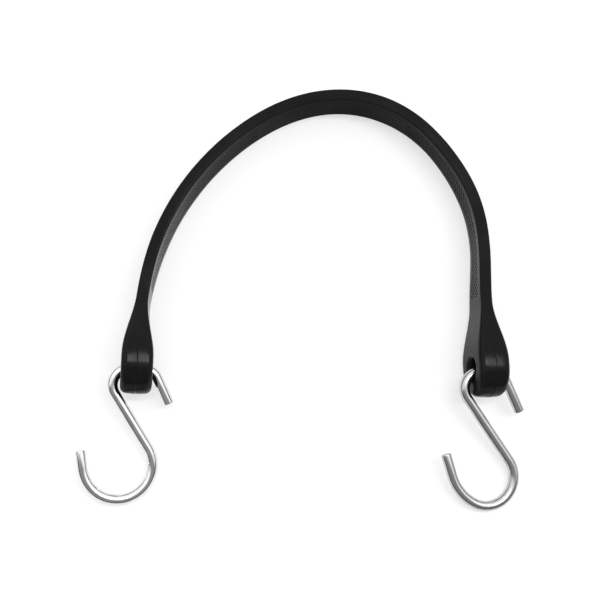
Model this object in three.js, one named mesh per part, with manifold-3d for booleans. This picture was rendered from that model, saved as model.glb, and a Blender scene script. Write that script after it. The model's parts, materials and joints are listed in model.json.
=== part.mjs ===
// Rubber tie-down strap with a wire S-hook loose in each end.
// Millimetres, +Z up. The strap lies bent into an arch and stands on its narrow edge,
// so its width is upright, its thickness points across the arch, and its two ends lie side by side.
// The origin is on the ground, under the middle of the whole object.

import * as THREE from "three";
import { mergeVertices } from "three/addons/utils/BufferGeometryUtils.js";
import Module from "manifold-3d";

const wasm = await Module();
wasm.setup();

const degree = Math.PI / 180;
const quarterTurn = 90 * degree;
const halfTurn = 180 * degree;
const fullTurn = 360 * degree;

// The strap
const strapLength = 381;
const strapWidth = 19;
const strapThickness = 5.6;
const strapCornerRadius = 0.8;
const strapStep = 6;

// The thickened eye at each end of the strap, with a wall of rubber all round its hole
const eyeWall = 8.65;
const eyeThickness = 14.5;
const eyeEdgeRadius = 3;
const eyeHoleLip = 1.9;
const eyeStraightLength = 16.5;
const flareLength = 28.5;

// An eye is wider than the strap, so each end stands a little higher and settles to the ground
const settleLength = 90;

// The hooks' wire, and its clearances: beside the eye, and in the hole at the end that the
// hook pulls on and at the other end
const wireDiameter = 4.76;
const wireEndChamfer = 0.5;
const hookSideGap = 1;
const hookSeatGap = 0.3;
const hookTopGap = 3.95;

// The bend in the eye has two corners of this radius. The hooks were bent one by one, and below
// that bend they differ a little
const upperBendRadius = 7.8;
const leftHook = {
  shortLegLength: 13.2,
  shortLegLean: 26.5 * degree,
  shankLength: 29.4,
  shankLean: 33.5 * degree,
  lowerBendRadius: 15.7,
  lowerBendTurn: 163.8 * degree,
  openBendRadius: 17.2,
  openBendTurn: 39.7 * degree,
  tipLength: 8.6,
};
const rightHook = {
  shortLegLength: 15.8,
  shortLegLean: 24.4 * degree,
  shankLength: 35.6,
  shankLean: 34.5 * degree,
  lowerBendRadius: 13.4,
  lowerBendTurn: 152.1 * degree,
  openBendRadius: 21.7,
  openBendTurn: 46.1 * degree,
  tipLength: 10.4,
};

// A hook hangs from its eye at the slope at which it touches the ground, found by halving
const steepestSlope = 60 * degree;
const slopeHalvings = 40;

// Fineness of the faceted surfaces
const cornerSegments = 3;
const flareSegments = 10;
const eyeSegments = 20;
const holeSegments = 32;
const wireSides = 12;
const bendStep = 8 * degree;

// The arch seen from above: how sharply the strap bends at equal steps of its length, as shares
// of its mean bend, how far it turns from the left end to the right one, and where it starts
const bendShares = [
  0, 0.39, 0.65, 0.98, 1.02, 0.93, 0.98, 1.42, 1.9, 2.09, 1.84, 1.05, 1.77, 1.1, -0.83, 0.12, 0,
];
const archTurn = 178.34 * degree;
const leftEndHeading = 89.71 * degree;
const archSteps = 800;

// How far the strap's upper edge leans into the arch, at equal steps from eye to eye
const leanDegrees = [9, 4, -0.5, -2, -2, -1.5, 0, 0, 2.5, 0, -0.5, -5, -8.5];

const wireRadius = wireDiameter / 2;
const upperBendStraight = 2 * (eyeThickness / 2 + hookSideGap + wireRadius - upperBendRadius);

// How far the upper bend needs free room below the top of its centreline, at a distance along
// the hole from its middle
function wireDrop(distance) {
  const clearRadius = upperBendRadius - wireRadius - hookSeatGap;
  const intoCorner = Math.max(0, distance - upperBendStraight / 2);
  return upperBendRadius - Math.sqrt(clearRadius * clearRadius - intoCorner * intoCorner);
}

// The hole is just large enough for the bent wire, at its mouths and where their bevels start
const eyeFace = eyeThickness / 2;
const holeMouth = eyeFace - eyeHoleLip;
const holeFlatShare = Math.cos(Math.PI / holeSegments);
const wireRoom = wireRadius + hookTopGap;
const holeDiameter = Math.max(
  (wireRoom + wireDrop(holeMouth)) / holeFlatShare,
  (wireRoom + wireDrop(eyeFace)) / holeFlatShare - eyeHoleLip,
);
const holeRadius = holeDiameter / 2;
const eyeRadius = holeRadius + eyeWall;
const eyeWidth = 2 * eyeRadius;
const up = new THREE.Vector3(0, 0, 1);

const rubber = new THREE.MeshStandardMaterial({ color: "#262729", roughness: 0.6, metalness: 0 });
const steel = new THREE.MeshStandardMaterial({ color: "#c8cbcf", roughness: 0.25, metalness: 1 });

function smoothStep(share) {
  const t = THREE.MathUtils.clamp(share, 0, 1);
  return t * t * (3 - 2 * t);
}

// The value at a place from 0 to 1 of a list whose values stand at equal steps
function valueAt(list, share) {
  const at = THREE.MathUtils.clamp(share, 0, 1) * (list.length - 1);
  const before = Math.min(Math.floor(at), list.length - 2);
  return THREE.MathUtils.lerp(list[before], list[before + 1], at - before);
}

// Places and headings along the arch, found by adding up its bend from the left end
function archPlaces() {
  const meanBend = bendShares.reduce((sum, bend) => sum + bend, 0) / (bendShares.length - 1);
  const step = strapLength / archSteps;
  const places = [{ x: 0, y: 0, heading: leftEndHeading }];
  for (let k = 0; k < archSteps; k += 1) {
    const { x, y, heading } = places[k];
    const bend = valueAt(bendShares, (k + 0.5) / archSteps);
    const next = heading - ((bend / meanBend) * archTurn) / archSteps;
    const between = (heading + next) / 2;
    places.push({ x: x + step * Math.cos(between), y: y + step * Math.sin(between), heading: next });
  }
  return places;
}

// Everything that changes along the strap, as functions of the distance from its nearer end
function fromEyeToStrap(distance, atEye, onStrap) {
  return THREE.MathUtils.lerp(atEye, onStrap, smoothStep((distance - eyeStraightLength) / flareLength));
}
const halfThickness = (distance) => fromEyeToStrap(distance, eyeThickness, strapThickness) / 2;
const halfWidth = (distance) => fromEyeToStrap(distance, eyeWidth, strapWidth) / 2;
const cornerRadius = (distance) => fromEyeToStrap(distance, eyeEdgeRadius, strapCornerRadius);

// Height of a leaning section's centre when its lower edge touches the ground
function restingHeight(thickness, width, edgeRadius, lean) {
  const side = thickness / 2 - edgeRadius;
  const reach = width / 2 - edgeRadius;
  return reach * Math.cos(lean) + side * Math.abs(Math.sin(lean)) + edgeRadius;
}

// Place and directions of the strap's section at a distance from its left end
function strapFrame(arch, distance) {
  const fromRight = strapLength - distance;
  const nearer = Math.min(distance, fromRight);
  const betweenEyes = strapLength - 2 * eyeStraightLength;
  const lean = valueAt(leanDegrees, (distance - eyeStraightLength) / betweenEyes) * degree;
  const eyeLean = leanDegrees.at(distance < fromRight ? 0 : -1) * degree;
  const atEye = restingHeight(eyeThickness, eyeWidth, eyeEdgeRadius, eyeLean);
  const onStrap = restingHeight(strapThickness, strapWidth, strapCornerRadius, lean);
  const settled = smoothStep((nearer - eyeStraightLength) / settleLength);
  const height = THREE.MathUtils.lerp(atEye, onStrap, settled);

  const at = (distance / strapLength) * archSteps;
  const before = Math.min(Math.floor(at), archSteps - 1);
  const [from, to] = [arch[before], arch[before + 1]];
  const mix = (key) => THREE.MathUtils.lerp(from[key], to[key], at - before);
  const centre = new THREE.Vector3(mix("x"), mix("y"), height);
  const along = new THREE.Vector3(Math.cos(mix("heading")), Math.sin(mix("heading")), 0);
  const outward = new THREE.Vector3().crossVectors(up, along);
  const across = outward.clone().applyAxisAngle(along, lean);
  const upright = up.clone().applyAxisAngle(along, lean);
  return { centre, along, across, upright, nearer };
}

// Upper half of the strap's section, from the middle of one wide face over the narrow edge to the other
function halfSection(distance) {
  const side = halfThickness(distance);
  const top = halfWidth(distance);
  const radius = cornerRadius(distance);
  const points = [[-side, 0]];
  for (let k = 0; k <= cornerSegments; k += 1) {
    const angle = (k / cornerSegments) * quarterTurn;
    points.push([-side + radius * (1 - Math.cos(angle)), top - radius * (1 - Math.sin(angle))]);
  }
  const mirrored = points.slice().reverse();
  return points.concat(mirrored.map(([across, height]) => [-across, height]));
}

// Distances from the left end at which the strap gets a section, from one hole's centre to the other's
function strapStations() {
  const stations = [eyeRadius];
  for (let k = 0; k <= flareSegments; k += 1) {
    stations.push(eyeStraightLength + (flareLength * k) / flareSegments);
  }
  const start = eyeStraightLength + flareLength;
  const middle = strapLength / 2;
  const count = Math.max(1, Math.round((middle - start) / strapStep));
  for (let k = 1; k < count; k += 1) {
    stations.push(start + ((middle - start) * k) / count);
  }
  const mirrored = stations.slice().reverse().map((distance) => strapLength - distance);
  return [...stations, middle, ...mirrored];
}

// The strap with its rounded ends, still without holes
function strapBody(arch) {
  const vertices = [];
  const triangles = [];
  const addPoint = (frame, across, height, outwards = 0) => {
    const point = frame.centre.clone();
    point.addScaledVector(frame.across, across);
    point.addScaledVector(frame.upright, height);
    point.addScaledVector(frame.along, outwards);
    vertices.push(point);
    return vertices.length - 1;
  };
  const addQuad = (a, b, c, d) => {
    if (a !== b && b !== c && c !== a) triangles.push([a, b, c]);
    if (a !== c && c !== d && d !== a) triangles.push([a, c, d]);
  };

  const stations = strapStations();
  const frames = stations.map((distance) => strapFrame(arch, distance));
  const halves = frames.map((frame) => halfSection(frame.nearer));
  const last = halves[0].length - 1;
  const rings = frames.map((frame, k) => {
    const upper = halves[k].map(([across, height]) => addPoint(frame, across, height));
    const lower = halves[k].slice(1, last).map(([across, height]) => addPoint(frame, across, -height));
    return [...upper, ...lower.reverse()];
  });
  for (let k = 0; k + 1 < rings.length; k += 1) {
    const ring = rings[k];
    const next = rings[k + 1];
    ring.forEach((point, j) => {
      const after = (j + 1) % ring.length;
      addQuad(point, next[j], next[after], ring[after]);
    });
  }

  // Half of the upper section turned about the hole's axis closes each end
  const addEnd = (k, direction) => {
    const ring = rings[k];
    const mirrored = (j) => (j === 0 || j === last ? ring[j] : ring[ring.length - j]);
    const arcs = [ring.slice(0, last + 1)];
    for (let step = 1; step < eyeSegments; step += 1) {
      const angle = (step / eyeSegments) * halfTurn;
      const arc = halves[k].map(([across, height], j) => {
        if (j === 0 || j === last) return ring[j];
        return addPoint(frames[k], across, height * Math.cos(angle), direction * height * Math.sin(angle));
      });
      arcs.push(arc);
    }
    arcs.push(halves[k].map((_, j) => mirrored(j)));
    for (let step = 0; step < eyeSegments; step += 1) {
      for (let j = 0; j < last; j += 1) {
        const [a, b] = [arcs[step][j], arcs[step][j + 1]];
        const [c, d] = [arcs[step + 1][j + 1], arcs[step + 1][j]];
        if (direction > 0) addQuad(a, d, c, b);
        else addQuad(a, b, c, d);
      }
    }
  };
  addEnd(0, -1);
  addEnd(rings.length - 1, 1);

  const geometry = new THREE.BufferGeometry();
  const positions = vertices.flatMap((point) => point.toArray());
  geometry.setAttribute("position", new THREE.Float32BufferAttribute(positions, 3));
  geometry.setIndex(triangles.flat());
  return geometry;
}

// Cutter for an eye's hole: a round bore with a small bevel at each mouth
function holeCutter() {
  const overrun = eyeHoleLip;
  const wide = holeRadius + eyeHoleLip + overrun;
  const profile = [
    new THREE.Vector2(0, -eyeFace - overrun),
    new THREE.Vector2(wide, -eyeFace - overrun),
    new THREE.Vector2(holeRadius, -holeMouth),
    new THREE.Vector2(holeRadius, holeMouth),
    new THREE.Vector2(wide, eyeFace + overrun),
    new THREE.Vector2(0, eyeFace + overrun),
  ];
  return new THREE.LatheGeometry(profile, holeSegments);
}

// A solid that can be cut, from a closed three.js geometry
function toSolid(geometry) {
  const bare = geometry.clone();
  bare.deleteAttribute("normal");
  bare.deleteAttribute("uv");
  const merged = mergeVertices(bare);
  const index = merged.index.array;
  const kept = [];
  for (let k = 0; k < index.length; k += 3) {
    const [a, b, c] = [index[k], index[k + 1], index[k + 2]];
    if (a !== b && b !== c && c !== a) kept.push(a, b, c);
  }
  return new wasm.Manifold(
    new wasm.Mesh({
      numProp: 3,
      vertProperties: new Float32Array(merged.attributes.position.array),
      triVerts: new Uint32Array(kept),
    }),
  );
}

function toGeometry(solid) {
  const mesh = solid.getMesh();
  const geometry = new THREE.BufferGeometry();
  geometry.setAttribute("position", new THREE.BufferAttribute(new Float32Array(mesh.vertProperties), 3));
  geometry.setIndex(new THREE.BufferAttribute(new Uint32Array(mesh.triVerts), 1));
  geometry.computeVertexNormals();
  return geometry;
}

// The strap's frame at the centre of an eye's hole
function eyeFrame(arch, side) {
  return strapFrame(arch, side < 0 ? eyeRadius : strapLength - eyeRadius);
}

function makeStrap(arch) {
  let solid = toSolid(strapBody(arch));
  for (const side of [-1, 1]) {
    const frame = eyeFrame(arch, side);
    const cutter = holeCutter();
    const turn = new THREE.Matrix4().makeBasis(frame.along, frame.across, frame.upright);
    cutter.applyMatrix4(turn.setPosition(frame.centre));
    solid = solid.subtract(toSolid(cutter));
  }
  const mesh = new THREE.Mesh(toGeometry(solid), rubber);
  mesh.name = "rubber_strap";
  return mesh;
}

// Height of the upper bend's top above the hole's centre, with the wire hanging against the end
// of the hole
function upperBendTop() {
  const seat = (distance, radius) => wireDrop(distance) - radius * holeFlatShare;
  return Math.max(seat(holeMouth, holeRadius), seat(eyeFace, holeRadius + eyeHoleLip));
}

// The wire's centreline in the hook's own plane: X along the hole's axis, Y towards the strap
function hookPath(hook) {
  const points = [];
  let heading = quarterTurn + hook.shortLegLean;
  const bend = new THREE.Vector2(upperBendStraight / 2, upperBendTop() - upperBendRadius);
  const start = new THREE.Vector2(Math.cos(hook.shortLegLean), Math.sin(hook.shortLegLean));
  const place = start.multiplyScalar(upperBendRadius).add(bend);
  const step = (length) => {
    place.x += length * Math.cos(heading);
    place.y += length * Math.sin(heading);
  };
  const mark = () => points.push({ x: place.x, y: place.y, heading });
  const straight = (length) => {
    step(length);
    mark();
  };
  const arc = (radius, turn) => {
    const count = Math.max(1, Math.round(Math.abs(turn) / bendStep));
    const chord = 2 * radius * Math.sin(Math.abs(turn) / count / 2);
    for (let k = 0; k < count; k += 1) {
      heading += turn / count / 2;
      step(chord);
      heading += turn / count / 2;
      mark();
    }
  };
  step(-hook.shortLegLength);
  mark();
  straight(hook.shortLegLength);
  arc(upperBendRadius, quarterTurn - hook.shortLegLean);
  straight(upperBendStraight);
  arc(upperBendRadius, quarterTurn + hook.shankLean);
  straight(hook.shankLength);
  arc(hook.lowerBendRadius, -hook.lowerBendTurn);
  arc(hook.openBendRadius, -hook.openBendTurn);
  straight(hook.tipLength);
  return points;
}

// Round wire along that centreline, with both cut ends chamfered
function hookGeometry(hook) {
  const path = hookPath(hook);
  const first = path[0];
  const end = path[path.length - 1];
  const shifted = (point, length) => ({
    x: point.x + length * Math.cos(point.heading),
    y: point.y + length * Math.sin(point.heading),
    heading: point.heading,
  });
  const rings = path.map((point) => ({ ...point, radius: wireRadius }));
  rings[0] = { ...shifted(first, wireEndChamfer), radius: wireRadius };
  rings[rings.length - 1] = { ...shifted(end, -wireEndChamfer), radius: wireRadius };
  rings.unshift({ ...first, radius: wireRadius - wireEndChamfer });
  rings.push({ ...end, radius: wireRadius - wireEndChamfer });

  const positions = [];
  const triangles = [];
  for (const ring of rings) {
    for (let k = 0; k < wireSides; k += 1) {
      const angle = (k / wireSides) * fullTurn;
      const inPlane = ring.radius * Math.cos(angle);
      positions.push(
        ring.x - inPlane * Math.sin(ring.heading),
        ring.y + inPlane * Math.cos(ring.heading),
        ring.radius * Math.sin(angle),
      );
    }
  }
  const at = (ring, k) => ring * wireSides + (k % wireSides);
  for (let ring = 0; ring + 1 < rings.length; ring += 1) {
    for (let k = 0; k < wireSides; k += 1) {
      triangles.push(at(ring, k), at(ring, k + 1), at(ring + 1, k + 1));
      triangles.push(at(ring, k), at(ring + 1, k + 1), at(ring + 1, k));
    }
  }
  for (let k = 1; k + 1 < wireSides; k += 1) {
    triangles.push(at(0, 0), at(0, k + 1), at(0, k));
    triangles.push(at(rings.length - 1, 0), at(rings.length - 1, k), at(rings.length - 1, k + 1));
  }
  const geometry = new THREE.BufferGeometry();
  geometry.setAttribute("position", new THREE.Float32BufferAttribute(positions, 3));
  geometry.setIndex(triangles);
  geometry.computeVertexNormals();
  return geometry;
}

// Orientation of a hook that slopes down from its eye by the given angle
function hookTurn(frame, side, slope) {
  const axis = frame.across.clone().multiplyScalar(side);
  const towardsStrap = frame.along.clone().multiplyScalar(-side).applyAxisAngle(axis, slope);
  const facing = new THREE.Vector3().crossVectors(axis, towardsStrap);
  return new THREE.Matrix4().makeBasis(axis, towardsStrap, facing).setPosition(frame.centre);
}

function lowestPoint(geometry, turn) {
  const point = new THREE.Vector3();
  let lowest = Infinity;
  for (let k = 0; k < geometry.attributes.position.count; k += 1) {
    point.fromBufferAttribute(geometry.attributes.position, k).applyMatrix4(turn);
    lowest = Math.min(lowest, point.z);
  }
  return lowest;
}

// A hook turned about its eye's hole until its wire touches the ground
function makeHook(arch, name, hook, side) {
  const geometry = hookGeometry(hook);
  const frame = eyeFrame(arch, side);
  let level = 0;
  let steep = steepestSlope;
  for (let k = 0; k < slopeHalvings; k += 1) {
    const middle = (level + steep) / 2;
    if (lowestPoint(geometry, hookTurn(frame, side, middle)) > 0) level = middle;
    else steep = middle;
  }
  const mesh = new THREE.Mesh(geometry, steel);
  mesh.name = name;
  mesh.applyMatrix4(hookTurn(frame, side, level));
  return mesh;
}

const arch = archPlaces();
const model = new THREE.Group();
model.add(makeStrap(arch));
model.add(makeHook(arch, "left_s_hook", leftHook, -1));
model.add(makeHook(arch, "right_s_hook", rightHook, 1));

// The origin goes on the ground under the middle of the object
const box = new THREE.Box3().setFromObject(model, true);
const middle = box.getCenter(new THREE.Vector3());
model.position.set(-middle.x, -middle.y, -box.min.z);
model.updateMatrixWorld(true);

export default model;
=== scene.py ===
"""Rubber tie-down strap with an S-hook in each eye: the finished look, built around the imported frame."""

import json
from math import cos, hypot, pi, radians, sin, tan

import bmesh
import bpy
from bpy.props import FloatProperty, FloatVectorProperty, PointerProperty
from mathutils import Matrix, Vector
from mathutils.kdtree import KDTree


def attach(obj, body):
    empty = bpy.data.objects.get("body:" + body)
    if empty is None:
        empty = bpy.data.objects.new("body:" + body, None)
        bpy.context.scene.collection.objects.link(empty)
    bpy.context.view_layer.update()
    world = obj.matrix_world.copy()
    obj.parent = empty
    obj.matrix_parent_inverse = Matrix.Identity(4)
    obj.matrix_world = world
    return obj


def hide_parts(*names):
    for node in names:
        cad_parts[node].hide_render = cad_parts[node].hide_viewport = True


bl_info = {
    "name": "Rubber tie-down strap",
    "version": (1, 0, 0),
    "blender": (4, 5, 0),
    "location": "View3D > Sidebar > Tie-down",
    "description": "Models a bent rubber tie-down strap with its two S-hooks",
    "category": "Object",
}

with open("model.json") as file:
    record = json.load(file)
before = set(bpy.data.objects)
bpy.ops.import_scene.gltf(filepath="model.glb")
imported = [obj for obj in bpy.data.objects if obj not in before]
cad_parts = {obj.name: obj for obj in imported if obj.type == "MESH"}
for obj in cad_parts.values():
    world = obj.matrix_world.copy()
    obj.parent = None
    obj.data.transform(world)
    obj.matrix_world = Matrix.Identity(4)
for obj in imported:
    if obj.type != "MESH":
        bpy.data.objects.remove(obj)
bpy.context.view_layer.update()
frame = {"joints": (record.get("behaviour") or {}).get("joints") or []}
JOINTS = {joint["name"]: joint for joint in frame["joints"]}

MM = 0.001
UP = Vector((0, 0, 1))

# The arch seen from above: how sharply the strap bends at equal steps of its length, as shares of
# its mean bend, how far it turns from the left end to the right one, and where it starts
BEND_SHARES = (0, 0.39, 0.65, 0.98, 1.02, 0.93, 0.98, 1.42, 1.9, 2.09, 1.84, 1.05, 1.77, 1.1, -0.83, 0.12, 0)
ARCH_TURN = radians(178.34)
LEFT_END_HEADING = radians(89.71)
ARCH_STEPS = 800

# How far the strap's upper edge leans into the arch, at equal steps from eye to eye
LEAN_DEGREES = (9, 4, -0.5, -2, -2, -1.5, 0, 0, 2.5, 0, -0.5, -5, -8.5)

# An eye is wider than the strap, so each end stands a little higher and settles to the ground
EYE_STRAIGHT_LENGTH = 16.5 * MM
FLARE_LENGTH = 28.5 * MM
SETTLE_LENGTH = 90 * MM

# The S-hooks: the wire's straights and bends, from the short leg's end to the open tip
LEFT_HOOK = {
    "joint": "left_hook_swing", "side": -1, "slope": radians(11.049),
    "short_leg": 13.2 * MM, "short_leg_lean": radians(26.5),
    "shank": 29.4 * MM, "shank_lean": radians(33.5),
    "lower_bend": 15.7 * MM, "lower_turn": radians(163.8),
    "open_bend": 17.2 * MM, "open_turn": radians(39.7), "tip": 8.6 * MM,
}
RIGHT_HOOK = {
    "joint": "right_hook_swing", "side": 1, "slope": radians(9.998),
    "short_leg": 15.8 * MM, "short_leg_lean": radians(24.4),
    "shank": 35.6 * MM, "shank_lean": radians(34.5),
    "lower_bend": 13.4 * MM, "lower_turn": radians(152.1),
    "open_bend": 21.7 * MM, "open_turn": radians(46.1), "tip": 10.4 * MM,
}


class StrapSizes(bpy.types.PropertyGroup):
    """The moulded rubber strap"""

    length: FloatProperty(name="Length", description="End to end along the strap",
                          default=381 * MM, unit="LENGTH", precision=4)
    width: FloatProperty(name="Width", description="Width of the strap between its eyes",
                         default=19 * MM, unit="LENGTH", precision=4)
    thickness: FloatProperty(name="Thickness", description="Thickness of the strap between its eyes",
                             default=5.6 * MM, unit="LENGTH", precision=4)
    corner: FloatProperty(name="Corner", description="Radius of the strap's long corners",
                          default=0.8 * MM, unit="LENGTH", precision=4)
    eye_width: FloatProperty(name="Eye width", description="Outer diameter of an eye",
                             default=27 * MM, unit="LENGTH", precision=4)
    eye_thickness: FloatProperty(name="Eye thickness", description="Thickness of an eye",
                                 default=14.5 * MM, unit="LENGTH", precision=4)
    eye_corner: FloatProperty(name="Eye corner", description="Radius of an eye's rim corners",
                              default=3 * MM, unit="LENGTH", precision=4)
    hole: FloatProperty(name="Hole", description="Diameter of an eye's hole",
                        default=9.7 * MM, unit="LENGTH", precision=4)
    hole_lip: FloatProperty(name="Hole lip", description="Radius of the rounded mouths of a hole",
                            default=1.9 * MM, unit="LENGTH", precision=4)
    draft: FloatProperty(name="Draft", description="Slope of the narrow edges away from the mould's joint",
                         default=radians(4), subtype="ANGLE")
    seam: FloatProperty(name="Seam", description="Depth of the groove along the mould's joint at the eyes",
                        default=0.3 * MM, unit="LENGTH", precision=5)


class HookSizes(bpy.types.PropertyGroup):
    """The bent wire of the hooks"""

    wire: FloatProperty(name="Wire", description="Diameter of the wire",
                        default=4.76 * MM, unit="LENGTH", precision=5)
    upper_bend: FloatProperty(name="Upper bend", description="Radius of the two corners of the bend in the eye",
                              default=7.8 * MM, unit="LENGTH", precision=4)
    side_gap: FloatProperty(name="Side gap", description="Gap between the wire and each side of the eye",
                            default=1 * MM, unit="LENGTH", precision=4)
    seat_gap: FloatProperty(name="Seat gap", description="Gap between the wire and the end of the hole",
                            default=0.3 * MM, unit="LENGTH", precision=5)
    cut_corner: FloatProperty(name="Cut corner", description="Rounding of the wire's cut ends",
                              default=0.5 * MM, unit="LENGTH", precision=5)


class Finishes(bpy.types.PropertyGroup):
    """Colours of the rubber, the steel and the floor"""

    rubber: FloatVectorProperty(name="Rubber", description="Colour of clean rubber", subtype="COLOR",
                                size=3, default=(0.0071, 0.0073, 0.0077), min=0, max=1)
    # Bloom is a lighter rubber colour: real dust in random patches, and on the corners and hole lips partly wear
    # and partly a painted sheen
    bloom_and_sheen: FloatVectorProperty(name="Bloom", description="Colour of rubber that is dusty or rubbed",
                               subtype="COLOR", size=3, default=(0.0125, 0.0128, 0.0132), min=0, max=1)
    steel: FloatVectorProperty(name="Steel", description="Colour of the plated wire", subtype="COLOR",
                               size=3, default=(0.80, 0.81, 0.81), min=0, max=1)
    floor: FloatVectorProperty(name="Floor", description="Colour of the floor", subtype="COLOR",
                               size=3, default=(0.95, 0.95, 0.95), min=0, max=1)


def settings():
    scene = bpy.context.scene
    return scene.tie_strap_sizes, scene.tie_strap_hooks, scene.tie_strap_finishes


def mix(a, b, share):
    return a + (b - a) * share


def smooth_step(share):
    t = min(max(share, 0), 1)
    return t * t * (3 - 2 * t)


# The strap's route

def value_at(values, share):
    """The value at a place from 0 to 1 of values that stand at equal steps."""
    at = min(max(share, 0), 1) * (len(values) - 1)
    before = min(int(at), len(values) - 2)
    return mix(values[before], values[before + 1], at - before)


def arch_places(length):
    """Places and headings along the arch, found by adding up its bend from the left end."""
    mean_bend = sum(BEND_SHARES) / (len(BEND_SHARES) - 1)
    step = length / ARCH_STEPS
    places = [Vector((0, 0, LEFT_END_HEADING))]
    for k in range(ARCH_STEPS):
        x, y, heading = places[-1]
        bend = value_at(BEND_SHARES, (k + 0.5) / ARCH_STEPS)
        after = heading - bend / mean_bend * ARCH_TURN / ARCH_STEPS
        between = (heading + after) / 2
        places.append(Vector((x + step * cos(between), y + step * sin(between), after)))
    return places


def resting_height(thickness, width, corner, lean):
    """Height of a leaning section's centre when its lower edge touches the ground."""
    return (width / 2 - corner) * cos(lean) + (thickness / 2 - corner) * abs(sin(lean)) + corner


class Route:
    """Where the strap lies: a place and three directions for each distance from its left end."""

    def __init__(self, sizes):
        self.sizes = sizes
        self.places = arch_places(sizes.length)
        self.shift = Vector((0, 0, 0))
        hole = Vector(JOINTS["left_hook_swing"]["pos_m"])
        here = self.at(sizes.eye_width / 2)[0]
        self.shift = Vector((hole.x - here.x, hole.y - here.y, 0))

    def at(self, distance):
        """The middle of the section, then along the strap, out of the arch, and up across its width."""
        sizes = self.sizes
        from_right = sizes.length - distance
        between_eyes = sizes.length - 2 * EYE_STRAIGHT_LENGTH
        lean = radians(value_at(LEAN_DEGREES, (distance - EYE_STRAIGHT_LENGTH) / between_eyes))
        eye_lean = radians(LEAN_DEGREES[0 if distance < from_right else -1])
        at_eye = resting_height(sizes.eye_thickness, sizes.eye_width, sizes.eye_corner, eye_lean)
        on_strap = resting_height(sizes.thickness, sizes.width, sizes.corner, lean)
        settled = smooth_step((min(distance, from_right) - EYE_STRAIGHT_LENGTH) / SETTLE_LENGTH)
        height = mix(at_eye, on_strap, settled)

        x, y, heading = value_at(self.places, distance / sizes.length)
        centre = Vector((x, y, height)) + self.shift
        along = Vector((cos(heading), sin(heading), 0))
        turn = Matrix.Rotation(lean, 3, along)
        return centre, along, turn @ UP.cross(along), turn @ UP


# Small tools

def deselect():
    if bpy.context.mode != "OBJECT":
        bpy.ops.object.mode_set(mode="OBJECT")
    bpy.ops.object.select_all(action="DESELECT")


def activate(piece):
    deselect()
    piece.select_set(True)
    bpy.context.view_layer.objects.active = piece


def apply_modifier(piece, kind, **values):
    activate(piece)
    bpy.ops.object.modifier_add(type=kind)
    modifier = piece.modifiers[-1]
    for name, value in values.items():
        setattr(modifier, name, value)
    bpy.ops.object.modifier_apply(modifier=modifier.name)


def new_piece(name, vertices, faces):
    mesh = bpy.data.meshes.new(name)
    mesh.from_pydata(vertices, [], faces)
    piece = bpy.data.objects.new(name, mesh)
    bpy.context.scene.collection.objects.link(piece)
    return piece


def store_vectors(piece, name, values):
    attribute = piece.data.attributes.new(name, "FLOAT_VECTOR", "POINT")
    attribute.data.foreach_set("vector", [c for value in values for c in value])


def store_numbers(piece, name, values):
    attribute = piece.data.attributes.new(name, "FLOAT", "POINT")
    attribute.data.foreach_set("value", values)


# The strap, modelled straight: X along it, Y across its thickness, Z across its width

STRAP_NAME = "rubber_strap_moulding"
PATH_STEPS = 96
CORNER_STEPS = 6
FACE_STEPS = 28
END_STEPS = 40
HOLE_STEPS = 64
LIP_STEPS = 6
STATION_STEP = 1.5 * MM
PANEL_STEP = 0.4 * MM

# The groove along the mould's joint has a narrow floor, and is shallower between the eyes than on them
SEAM_HALF_WIDTH = 0.4 * MM
SEAM_FLOOR_HALF_WIDTH = SEAM_HALF_WIDTH / 6
SEAM_SHARE_ON_STRAP = 0.25

# A shallow moulded panel lies on the inner face of each arm: its start, end, depth and rib pitch. Its low ribs
# come from two slanting waves that cross
PANELS = ((50 * MM, 150 * MM, 0.2 * MM, 1.9 * MM), (232 * MM, 334 * MM, 0.3 * MM, 2.6 * MM))
PANEL_HALF_WIDTH = 5.5 * MM
PANEL_EDGE = 0.6 * MM
RIB_BASE = 0.5
RIB_SLANT = radians(28)
WEAVE_SHARE = 0.7
WEAVE_PITCH_SHARE = 1.37
WEAVE_SLANT = radians(-50)

# How far the hole's cutter stands out of an eye and widens there, in radii of the hole's rounded mouths
CUTTER_REACH = 4
CUTTER_FLARE = 2

# How quickly the wear and painted sheen fade from a corner, and how far they reach from a hole's mouth in radii
# of the mouth
CORNER_WEAR_AND_SHEEN = 1.6
MOUTH_WEAR_AND_SHEEN = 1.5

NORMAL_WEIGHT = 80


def from_eye_to_strap(nearer, at_eye, on_strap):
    return mix(at_eye, on_strap, smooth_step((nearer - EYE_STRAIGHT_LENGTH) / FLARE_LENGTH))


def section_sizes(sizes, nearer):
    """Half thickness, half width and corner radius at a distance from the nearer end."""
    return (
        from_eye_to_strap(nearer, sizes.eye_thickness, sizes.thickness) / 2,
        from_eye_to_strap(nearer, sizes.eye_width, sizes.width) / 2,
        from_eye_to_strap(nearer, sizes.eye_corner, sizes.corner),
    )


def half_section(sizes, nearer):
    """Upper half of the section, from the middle of the inner face over the narrow edge to the outer one."""
    side, top, radius = section_sizes(sizes, nearer)
    slope = tan(sizes.draft)
    corner_top = top - (side - radius - SEAM_HALF_WIDTH) * slope
    arc_centre = corner_top - radius
    points = []
    for k in range(FACE_STEPS // 2):
        points.append((-side, arc_centre * k / (FACE_STEPS // 2)))
    for k in range(CORNER_STEPS + 1):
        angle = k / CORNER_STEPS * pi / 2
        points.append((-side + radius * (1 - cos(angle)), arc_centre + radius * sin(angle)))
    points.append((-SEAM_HALF_WIDTH, top))
    seam = from_eye_to_strap(nearer, sizes.seam, SEAM_SHARE_ON_STRAP * sizes.seam)
    points.append((-SEAM_FLOOR_HALF_WIDTH, top - seam))
    return points + [(-across, height) for across, height in reversed(points)]


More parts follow.
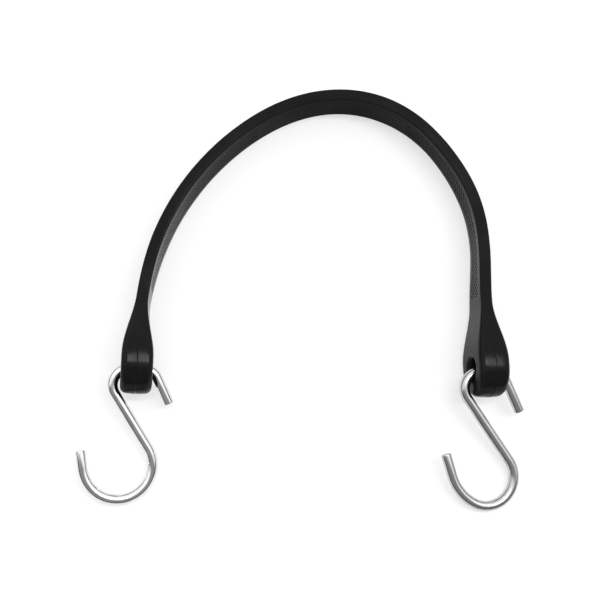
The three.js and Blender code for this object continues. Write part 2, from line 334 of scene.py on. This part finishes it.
def panel_relief(distance, height):
    """How far the inner face is sunk at a place of the straight strap."""
    for start, end, depth, pitch in PANELS:
        inside = min(distance - start, end - distance, PANEL_HALF_WIDTH - abs(height))
        if inside > 0:
            rib = sin(2 * pi * (distance + height * tan(RIB_SLANT)) / pitch)
            weave = sin(2 * pi * (distance + height * tan(WEAVE_SLANT)) / (WEAVE_PITCH_SHARE * pitch))
            raised = smooth_step(RIB_BASE + rib + WEAVE_SHARE * weave)
            return depth * smooth_step(inside / PANEL_EDGE) * (1 - raised)
    return 0


def strap_stations(sizes):
    """Distances at which the straight strap gets a section, from one hole's centre to the other's."""
    start = sizes.eye_width / 2
    stop = sizes.length - start
    stations = []
    distance = start
    while distance < stop:
        stations.append(distance)
        in_panel = any(a - PANEL_STEP < distance < b + PANEL_STEP for a, b, _, _ in PANELS)
        distance += PANEL_STEP if in_panel else STATION_STEP
    return stations + [stop]


def straight_strap(sizes):
    """The strap with its rounded ends, straight and still without holes."""
    vertices = []
    faces = []
    stations = strap_stations(sizes)
    halves = [half_section(sizes, min(s, sizes.length - s)) for s in stations]
    last = len(halves[0]) - 1

    def add(distance, across, height):
        vertices.append((distance, across, height))
        return len(vertices) - 1

    rings = []
    for station, half in zip(stations, halves):
        ring = []
        for sign, points in ((1, half), (-1, half[-2:0:-1])):
            for across, height in points:
                sunk = panel_relief(station, sign * height) if across < 0 else 0
                ring.append(add(station, across + sunk, sign * height))
        rings.append(ring)
    for ring, after in zip(rings, rings[1:]):
        for j in range(len(ring)):
            k = (j + 1) % len(ring)
            faces.append((ring[j], after[j], after[k], ring[k]))

    # At each end the upper half of the last section, swept half a turn about the hole's axis, closes the strap
    for end, direction in ((0, -1), (-1, 1)):
        ring = rings[end]
        arcs = [ring[:last + 1]]
        for step in range(1, END_STEPS):
            angle = step / END_STEPS * pi
            outwards = direction * sin(angle)
            arcs.append([
                ring[j] if j in (0, last) else add(stations[end] + height * outwards, across, height * cos(angle))
                for j, (across, height) in enumerate(halves[end])
            ])
        arcs.append([ring[j] if j in (0, last) else ring[-j] for j in range(last + 1)])
        for arc, after in zip(arcs, arcs[1:]):
            for j in range(last):
                corners = (arc[j], after[j], after[j + 1], arc[j + 1])
                face = tuple(dict.fromkeys(corners if direction > 0 else reversed(corners)))
                if len(face) > 2:
                    faces.append(face)
    return new_piece(STRAP_NAME, vertices, faces)


def hole_cutter(sizes, place):
    """A round bore with rounded mouths, turned about the across direction."""
    face = sizes.eye_thickness / 2
    mouth = face - sizes.hole_lip
    radius = sizes.hole / 2
    reach = mouth + CUTTER_REACH * sizes.hole_lip
    outline = [(0, reach), (radius + CUTTER_FLARE * sizes.hole_lip, reach)]
    for k in range(LIP_STEPS + 1):
        angle = pi / 2 * (1 - k / LIP_STEPS)
        outline.append((radius + sizes.hole_lip * (1 - cos(angle)), mouth + sizes.hole_lip * sin(angle)))
    outline += [(r, -across) for r, across in reversed(outline)]
    rings = []
    vertices = []
    for r, across in outline:
        if r == 0:
            rings.append([len(vertices)] * HOLE_STEPS)
            vertices.append((place, across, 0))
            continue
        rings.append(list(range(len(vertices), len(vertices) + HOLE_STEPS)))
        for k in range(HOLE_STEPS):
            angle = 2 * pi * k / HOLE_STEPS
            vertices.append((place + r * cos(angle), across, r * sin(angle)))
    faces = []
    for ring, after in zip(rings, rings[1:]):
        for k in range(HOLE_STEPS):
            j = (k + 1) % HOLE_STEPS
            faces.append(tuple(dict.fromkeys((ring[k], ring[j], after[j], after[k]))))
    return new_piece("hole_cutter", vertices, faces)


def rubbed_and_sheen(sizes, place):
    """How exposed a place on the straight strap is: 1 on its corners and lips, 0 on flat faces. The rubber is
    lighter there, partly from wear and partly as a painted sheen.
    """
    distance, across, height = place
    centre = sizes.eye_width / 2
    nearer = min(distance, sizes.length - distance)
    side, top, radius = section_sizes(sizes, max(nearer, centre))
    reach = hypot(nearer - centre, height) if nearer < centre else abs(height)
    from_side = (abs(across) - side + radius) / radius
    from_top = (reach - top + radius) / radius
    corner = smooth_step(CORNER_WEAR_AND_SHEEN * min(from_side, from_top))
    from_hole = hypot(nearer - centre, height) - sizes.hole / 2
    lip = 0
    if from_hole < sizes.hole_lip:
        lip = smooth_step((abs(across) - side + MOUTH_WEAR_AND_SHEEN * sizes.hole_lip) / sizes.hole_lip)
    return max(corner, lip)


def lay_along(piece, route):
    """Bends a straight piece to the route and keeps its straight form as an attribute."""
    sizes = route.sizes
    straight = [vertex.co.copy() for vertex in piece.data.vertices]
    store_vectors(piece, "straight", straight)
    store_numbers(piece, "rubbed_and_sheen", [rubbed_and_sheen(sizes, place) for place in straight])
    for vertex, (distance, across, height) in zip(piece.data.vertices, straight):
        kept = min(max(distance, sizes.eye_width / 2), sizes.length - sizes.eye_width / 2)
        centre, along, outwards, upright = route.at(kept)
        vertex.co = centre + (distance - kept) * along + across * outwards + height * upright
    piece.data.update()


# The hooks, modelled flat: X along the hole's axis, Y towards the strap

WIRE_SIDES = 36
BEND_STEP = radians(4)
ROUTE_STEP = 0.25 * MM
CUT_CORNER_STEPS = 4
JOINED_WITHIN = 0.001 * MM
SMOOTH_ANGLE = radians(40)

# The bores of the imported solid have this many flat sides
BORE_SIDES = 32


def hook_moves(hooks, sizes, hook):
    """The straights and bends of a hook's wire, with its start and first heading."""
    face = sizes.eye_thickness / 2
    half_seat = face + hooks.side_gap + hooks.wire / 2 - hooks.upper_bend
    clear = hooks.upper_bend - hooks.wire / 2 - hooks.seat_gap

    # The wire lies at the outer end of the hole, clear of both edges of its rounded mouth
    tops = []
    for reach, radius in ((face - sizes.hole_lip, sizes.hole / 2), (face, sizes.hole / 2 + sizes.hole_lip)):
        drop = hooks.upper_bend - (clear ** 2 - max(0, reach - half_seat) ** 2) ** 0.5
        tops.append(drop - radius * cos(pi / BORE_SIDES))
    centre = Vector((half_seat, max(tops) - hooks.upper_bend, 0))
    lean = hook["short_leg_lean"]
    heading = pi / 2 + lean
    direction = Vector((cos(heading), sin(heading), 0))
    start = centre + hooks.upper_bend * Vector((cos(lean), sin(lean), 0)) - hook["short_leg"] * direction
    moves = [
        ("straight", hook["short_leg"]),
        ("bend", hooks.upper_bend, pi / 2 - lean),
        ("straight", 2 * half_seat),
        ("bend", hooks.upper_bend, pi / 2 + hook["shank_lean"]),
        ("straight", hook["shank"]),
        ("bend", hook["lower_bend"], -hook["lower_turn"]),
        ("bend", hook["open_bend"], -hook["open_turn"]),
        ("straight", hook["tip"]),
    ]
    return start, heading, moves


def bend_centre(place, heading, radius, turn):
    """The point that the wire turns about, to its left for a positive turn."""
    side = 1 if turn > 0 else -1
    return place + side * radius * Vector((-sin(heading), cos(heading), 0))


def follow(start, heading, moves):
    """Points along the wire's centreline, each with the wire's heading and the length so far."""
    points = [(start.copy(), heading, 0.0)]
    for kind, *values in moves:
        place, heading, length = points[-1]
        if kind == "straight":
            count = max(1, round(values[0] / ROUTE_STEP))
            direction = Vector((cos(heading), sin(heading), 0))
            points += [(place + direction * values[0] * k / count, heading, length + values[0] * k / count)
                       for k in range(1, count + 1)]
            continue
        radius, turn = values
        centre = bend_centre(place, heading, radius, turn)
        count = max(1, round(radius * abs(turn) / ROUTE_STEP))
        for k in range(1, count + 1):
            part = turn * k / count
            points.append((centre + Matrix.Rotation(part, 3, "Z") @ (place - centre), heading + part,
                           length + radius * abs(part)))
    return points


def bent_wire(name, hooks, start, heading, moves):
    """A disc of wire, extruded along each straight and spun round each bend."""
    deselect()
    bpy.ops.mesh.primitive_circle_add(vertices=WIRE_SIDES, radius=hooks.wire / 2, fill_type="NGON",
                                      location=start, rotation=(0, pi / 2, heading))
    piece = bpy.context.active_object
    piece.name = piece.data.name = name
    bpy.ops.object.transform_apply(location=True, rotation=True, scale=True)
    bpy.ops.object.mode_set(mode="EDIT")
    bpy.ops.mesh.select_all(action="SELECT")
    place = start.copy()
    for kind, *values in moves:
        if kind == "straight":
            step = values[0] * Vector((cos(heading), sin(heading), 0))
            bpy.ops.mesh.extrude_region_move(TRANSFORM_OT_translate={"value": step})
            place += step
            continue
        radius, turn = values
        centre = bend_centre(place, heading, radius, turn)
        # This operator turns against the sign of its angle
        bpy.ops.mesh.spin(steps=round(abs(turn) / BEND_STEP), angle=-turn, center=centre, axis=(0, 0, 1))
        place = centre + Matrix.Rotation(turn, 3, "Z") @ (place - centre)
        heading += turn
    bpy.ops.mesh.select_all(action="SELECT")
    bpy.ops.mesh.remove_doubles(threshold=JOINED_WITHIN)
    bpy.ops.mesh.normals_make_consistent(inside=False)
    bpy.ops.object.mode_set(mode="OBJECT")
    return piece


def round_cut_ends(piece, hooks):
    """Rounds the rims of the wire's two cut ends."""
    activate(piece)
    bpy.ops.object.mode_set(mode="EDIT")
    bpy.ops.mesh.select_mode(type="FACE")
    bpy.ops.mesh.select_all(action="DESELECT")
    mesh = bmesh.from_edit_mesh(piece.data)
    for face in mesh.faces:
        face.select = len(face.verts) == WIRE_SIDES
    bmesh.update_edit_mesh(piece.data)
    bpy.ops.mesh.bevel(offset=hooks.cut_corner, segments=CUT_CORNER_STEPS, affect="EDGES")
    bpy.ops.object.mode_set(mode="OBJECT")


def store_wire(piece, points):
    """Keeps for each point where it was on the wire before the wire was bent."""
    tree = KDTree(len(points))
    for index, (place, _, _) in enumerate(points):
        tree.insert(place, index)
    tree.balance()
    straight = []
    for vertex in piece.data.vertices:
        _, index, _ = tree.find(vertex.co)
        place, heading, length = points[index]
        offset = vertex.co - place
        along = offset.x * cos(heading) + offset.y * sin(heading)
        aside = offset.y * cos(heading) - offset.x * sin(heading)
        straight.append((length + along, aside, offset.z))
    store_vectors(piece, "straight", straight)


def hang_in_eye(piece, hook, route):
    """Puts a flat hook on its hinge in the hole, at its slope from the strap's direction there."""
    joint = JOINTS[hook["joint"]]
    axis = Vector(joint["axis"]).normalized()
    eye = route.sizes.eye_width / 2
    along = route.at(eye if hook["side"] < 0 else route.sizes.length - eye)[1]
    towards = Matrix.Rotation(hook["slope"], 3, axis) @ (-hook["side"] * along)
    turn = Matrix((axis, towards, axis.cross(towards))).transposed().to_4x4()
    piece.matrix_world = Matrix.Translation(joint["pos_m"]) @ turn
    activate(piece)
    bpy.ops.object.transform_apply(location=True, rotation=True, scale=True)


# Materials

RUBBER_SPECULAR = 0.058
RUBBER_ROUGHNESS = (0.13, 0.21)
FLOW_EDGE = (0.3, 0.7)
DUST_EDGE = (0.45, 0.7)
DUST_MOST = 0.5

# Strength and depth of the bumps: flow marks and grain on the rubber, draw marks on the wire
FLOW_BUMP = (0.2, 0.05 * MM)
GRAIN_BUMP = (0.16, 0.03 * MM)
DRAW_BUMP = (0.25, 0.01 * MM)

# How much rougher the rubber is in the middle of the strap, and how far from there the mould's polish
# starts and is full
MATT_ROUGHNESS = 0.5
MATT_EDGE = (15 * MM, 125 * MM)

# Each hook's plating: the material's name, its brightness and its roughness in bright and dull patches. The right
# hook's lower brightness is painted shade, standing in for the dimmer light it reflects; its higher roughness is
# real
PLATINGS = {
    "left": ("bright_plated_wire", 1, (0.08, 0.14)),
    "right": ("dull_plated_wire_with_painted_shade", 0.72, (0.16, 0.25)),
}
PATCH_EDGE = (0.35, 0.7)
DULL_SHARE = 0.85

FLOOR_ROUGHNESS = 0.9
WHITE_FLOOR_SHARE = 0.62


def new_material(name):
    material = bpy.data.materials.new(name)
    material.use_nodes = True
    tree = material.node_tree
    return material, tree, tree.nodes["Principled BSDF"]


def add_node(tree, kind, inputs=(), **values):
    node = tree.nodes.new(kind)
    for name, value in values.items():
        setattr(node, name, value)
    for name, value in inputs:
        if isinstance(value, bpy.types.NodeSocket):
            tree.links.new(value, node.inputs[name])
        else:
            node.inputs[name].default_value = value
    return node


def add_attribute(tree, name, output):
    return add_node(tree, "ShaderNodeAttribute", attribute_name=name).outputs[output]


def add_noise(tree, vector, scale, detail, stretch=(1, 1, 1)):
    mapping = add_node(tree, "ShaderNodeMapping", [("Vector", vector), ("Scale", stretch)])
    inputs = [("Vector", mapping.outputs["Vector"]), ("Scale", scale), ("Detail", detail)]
    return add_node(tree, "ShaderNodeTexNoise", inputs).outputs["Fac"]


def add_range(tree, value, source, result, **values):
    """Turns a value between the source's two ends into one between the result's."""
    ends = zip(("From Min", "From Max", "To Min", "To Max"), (*source, *result))
    return add_node(tree, "ShaderNodeMapRange", [("Value", value), *ends], **values).outputs["Result"]


def add_math(tree, operation, first, second=0, **values):
    return add_node(tree, "ShaderNodeMath", [(0, first), (1, second)], operation=operation, **values).outputs[0]


def add_colour_mix(tree, share, first, second):
    inputs = [("Factor", share), ("A", (*first, 1)), ("B", (*second, 1))]
    return add_node(tree, "ShaderNodeMix", inputs, data_type="RGBA").outputs["Result"]


def add_bump(tree, height, strength, distance, *normal):
    inputs = [("Height", height), ("Strength", strength), ("Distance", distance)]
    inputs += [("Normal", under) for under in normal]
    return add_node(tree, "ShaderNodeBump", inputs).outputs["Normal"]


def rubber_material(finishes, length):
    """Black moulded rubber with grain and flow marks, its corners and hole lips lighter partly from wear and
    partly as a painted sheen, smoother at its eyes than between them.
    """
    material, tree, shader = new_material("moulded_rubber")
    straight = add_attribute(tree, "straight", "Vector")
    cloud = add_noise(tree, straight, scale=60, detail=4)
    flow = add_noise(tree, straight, scale=900, detail=3, stretch=(0.05, 1, 1))
    grain = add_noise(tree, straight, scale=2600, detail=2)

    dust = add_range(tree, cloud, DUST_EDGE, (0, DUST_MOST))
    # Corners and hole lips take the bloom colour along the flow marks: partly wear, partly a painted sheen
    wear_and_sheen = add_math(tree, "MULTIPLY", add_attribute(tree, "rubbed_and_sheen", "Fac"), flow)
    share = add_math(tree, "ADD", dust, wear_and_sheen, use_clamp=True)
    tree.links.new(add_colour_mix(tree, share, finishes.rubber, finishes.bloom_and_sheen), shader.inputs["Base Color"])

    along = add_node(tree, "ShaderNodeSeparateXYZ", [("Vector", straight)]).outputs["X"]
    off_middle = add_math(tree, "ABSOLUTE", add_math(tree, "SUBTRACT", along, length / 2))
    matt = add_range(tree, off_middle, MATT_EDGE, (MATT_ROUGHNESS, 0))
    polish = add_range(tree, flow, FLOW_EDGE, RUBBER_ROUGHNESS)
    tree.links.new(add_math(tree, "ADD", polish, matt), shader.inputs["Roughness"])
    shader.inputs["Specular IOR Level"].default_value = RUBBER_SPECULAR

    coarse = add_bump(tree, flow, *FLOW_BUMP)
    fine = add_bump(tree, grain, *GRAIN_BUMP, coarse)
    tree.links.new(fine, shader.inputs["Normal"])
    return material


def steel_material(finishes, name, brightness, roughness):
    """Plated wire, with fine draw marks along it and slightly dull patches."""
    material, tree, shader = new_material(name)
    straight = add_attribute(tree, "straight", "Vector")
    patch = add_noise(tree, straight, scale=220, detail=3)
    draw = add_noise(tree, straight, scale=5200, detail=2, stretch=(0.02, 1, 1))

    # A brightness below 1 darkens the whole plating as painted shade
    bright = [brightness * part for part in finishes.steel]
    dull = [DULL_SHARE * part for part in bright]
    share = add_range(tree, patch, PATCH_EDGE, (0, 1))
    tree.links.new(add_colour_mix(tree, share, bright, dull), shader.inputs["Base Color"])
    tree.links.new(add_range(tree, patch, PATCH_EDGE, roughness), shader.inputs["Roughness"])
    shader.inputs["Metallic"].default_value = 1
    tree.links.new(add_bump(tree, draw, *DRAW_BUMP), shader.inputs["Normal"])
    return material


def floor_material(finishes):
    """A matt pale floor that shows partly as plain white, so that shadows on it stay faint."""
    material, tree, shader = new_material("pale_floor")
    shader.inputs["Base Color"].default_value = (*finishes.floor, 1)
    shader.inputs["Roughness"].default_value = FLOOR_ROUGHNESS
    shader.inputs["Specular IOR Level"].default_value = 0
    ray = add_node(tree, "ShaderNodeLightPath").outputs
    seen = ray["Is Camera Ray"]
    for kind in ("Is Glossy Ray", "Is Transmission Ray"):
        seen = add_math(tree, "MAXIMUM", seen, ray[kind])
    share = add_math(tree, "MULTIPLY", seen, WHITE_FLOOR_SHARE)
    white = add_node(tree, "ShaderNodeEmission", [("Color", (1, 1, 1, 1)), ("Strength", 1)])
    blend = add_node(tree, "ShaderNodeMixShader", [(0, share), (1, shader.outputs[0]), (2, white.outputs[0])])
    tree.links.new(blend.outputs[0], tree.nodes["Material Output"].inputs["Surface"])
    return material


# The stage

CAMERA_PLACE = Vector((-14.03, -91.84, 433.86)) * MM
CAMERA_TARGET = Vector((-0.49, -0.63, 0)) * MM
CAMERA_LENS = 54.3
CAMERA_SENSOR = 36
CAMERA_NEAR = 0.01
FLOOR_SIZE = 6
FLOOR_DROP = 0.1 * MM
SOFTBOX_PLACE = Vector((0.85, 0.31, 2.8))
SOFTBOX_TARGET = Vector((0, -0.03, 0))
SOFTBOX_WIDTH = 2.5
SOFTBOX_HEIGHT = 0.25
SOFTBOX_POWER = 46

# The sky's strength behind and in front of the object, where one passes into the other along Y, what is
# left of it at the horizon, and where that passes into the full sky along Z
SKY_BRIGHT = 1.28
SKY_DIM = 0.3
SKY_FRONT_EDGE = (-0.34, -0.12)
SKY_LOW_SHARE = 0.12
SKY_LOW_EDGE = (0.15, 0.55)


def looking_down(place, target):
    """A camera's or a lamp's place and turn, with its width level along X."""
    back = (place - target).normalized()
    upwards = back.cross(Vector((1, 0, 0))).normalized()
    turn = Matrix((upwards.cross(back), upwards, back)).transposed()
    return Matrix.Translation(place) @ turn.to_4x4()


def add_camera():
    deselect()
    bpy.ops.object.camera_add()
    camera = bpy.context.active_object
    camera.name = "photo_camera"
    camera.data.lens = CAMERA_LENS
    camera.data.sensor_width = CAMERA_SENSOR
    camera.data.clip_start = CAMERA_NEAR
    camera.matrix_world = looking_down(CAMERA_PLACE, CAMERA_TARGET)
    bpy.context.scene.camera = camera


def add_floor(finishes):
    deselect()
    bpy.ops.mesh.primitive_plane_add(size=FLOOR_SIZE, location=(0, 0, -FLOOR_DROP))
    floor_piece = bpy.context.active_object
    floor_piece.name = "floor"
    bpy.ops.object.transform_apply(location=True, rotation=True, scale=True)
    floor_piece.data.materials.append(floor_material(finishes))


def add_softbox():
    deselect()
    bpy.ops.object.light_add(type="AREA")
    lamp = bpy.context.active_object
    lamp.name = "key_softbox"
    lamp.data.shape = "RECTANGLE"
    lamp.data.size = SOFTBOX_WIDTH
    lamp.data.size_y = SOFTBOX_HEIGHT
    lamp.data.energy = SOFTBOX_POWER
    lamp.matrix_world = looking_down(SOFTBOX_PLACE, SOFTBOX_TARGET)


def add_world():
    """A bright sky over and behind the object, dim in front of it and nearly dark near the horizon."""
    world = bpy.data.worlds.new("studio")
    bpy.context.scene.world = world
    world.use_nodes = True
    tree = world.node_tree
    direction = add_node(tree, "ShaderNodeTexCoord").outputs["Generated"]
    split = add_node(tree, "ShaderNodeSeparateXYZ", [("Vector", direction)]).outputs
    side = add_range(tree, split["Y"], SKY_FRONT_EDGE, (SKY_DIM, SKY_BRIGHT), interpolation_type="SMOOTHSTEP")
    height = add_range(tree, split["Z"], SKY_LOW_EDGE, (SKY_LOW_SHARE, 1), interpolation_type="SMOOTHSTEP")
    tree.links.new(add_math(tree, "MULTIPLY", side, height), tree.nodes["Background"].inputs["Color"])


def declare_cord(route):
    """Lists points along the middle of the strap at equal steps; nothing uses them."""
    length = route.sizes.length
    path = [route.at(length * k / PATH_STEPS)[0] for k in range(PATH_STEPS + 1)]


class TIE_STRAP_OT_set_stage(bpy.types.Operator):
    """Sets the camera, the floor and the light"""

    bl_idname = "tie_strap.set_stage"
    bl_label = "Set the stage"

    def execute(self, context):
        _, _, finishes = settings()
        context.scene.view_settings.view_transform = "Standard"
        add_camera()
        add_floor(finishes)
        add_world()
        add_softbox()
        return {"FINISHED"}


class TIE_STRAP_OT_make_strap(bpy.types.Operator):
    """Moulds the strap straight, cuts its eyes' holes and lays it in its arch"""

    bl_idname = "tie_strap.make_strap"
    bl_label = "Make the rubber strap"

    def execute(self, context):
        sizes, _, finishes = settings()
        route = Route(sizes)
        piece = straight_strap(sizes)
        for place in (sizes.eye_width / 2, sizes.length - sizes.eye_width / 2):
            cutter = hole_cutter(sizes, place)
            apply_modifier(piece, "BOOLEAN", object=cutter, operation="DIFFERENCE", solver="EXACT")
            bpy.data.objects.remove(cutter)
        lay_along(piece, route)
        activate(piece)
        bpy.ops.object.shade_smooth()
        apply_modifier(piece, "WEIGHTED_NORMAL", weight=NORMAL_WEIGHT, keep_sharp=True)
        piece.data.materials.append(rubber_material(finishes, sizes.length))
        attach(piece, "strap")
        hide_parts("rubber_strap")
        return {"FINISHED"}


class TIE_STRAP_OT_make_hooks(bpy.types.Operator):
    """Bends the two S-hooks and hangs them in the eyes"""

    bl_idname = "tie_strap.make_hooks"
    bl_label = "Make the S-hooks"

    def execute(self, context):
        sizes, hooks, finishes = settings()
        route = Route(sizes)
        for name, hook in (("left", LEFT_HOOK), ("right", RIGHT_HOOK)):
            start, heading, moves = hook_moves(hooks, sizes, hook)
            piece = bent_wire(name + "_s_hook_wire", hooks, start, heading, moves)
            round_cut_ends(piece, hooks)
            store_wire(piece, follow(start, heading, moves))
            hang_in_eye(piece, hook, route)
            bpy.ops.object.shade_smooth_by_angle(angle=SMOOTH_ANGLE)
            piece.data.materials.append(steel_material(finishes, *PLATINGS[name]))
            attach(piece, name + "_hook")
            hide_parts(name + "_s_hook")
        declare_cord(route)
        return {"FINISHED"}


class TIE_STRAP_PT_panel(bpy.types.Panel):
    bl_label = "Tie-down strap"
    bl_space_type = "VIEW_3D"
    bl_region_type = "UI"
    bl_category = "Tie-down"

    def draw(self, context):
        for group in settings():
            for name in group.__annotations__:
                self.layout.prop(group, name)
        for operator in OPERATORS:
            self.layout.operator(operator.bl_idname)


OPERATORS = (TIE_STRAP_OT_set_stage, TIE_STRAP_OT_make_strap, TIE_STRAP_OT_make_hooks)
CLASSES = (StrapSizes, HookSizes, Finishes, *OPERATORS, TIE_STRAP_PT_panel)


def register():
    for item in CLASSES:
        bpy.utils.register_class(item)
    bpy.types.Scene.tie_strap_sizes = PointerProperty(type=StrapSizes)
    bpy.types.Scene.tie_strap_hooks = PointerProperty(type=HookSizes)
    bpy.types.Scene.tie_strap_finishes = PointerProperty(type=Finishes)


def unregister():
    del bpy.types.Scene.tie_strap_finishes
    del bpy.types.Scene.tie_strap_hooks
    del bpy.types.Scene.tie_strap_sizes
    for item in reversed(CLASSES):
        bpy.utils.unregister_class(item)


def main():
    register()
    bpy.ops.tie_strap.set_stage()
    bpy.ops.tie_strap.make_strap()
    bpy.ops.tie_strap.make_hooks()


if __name__ == "__main__":
    main()
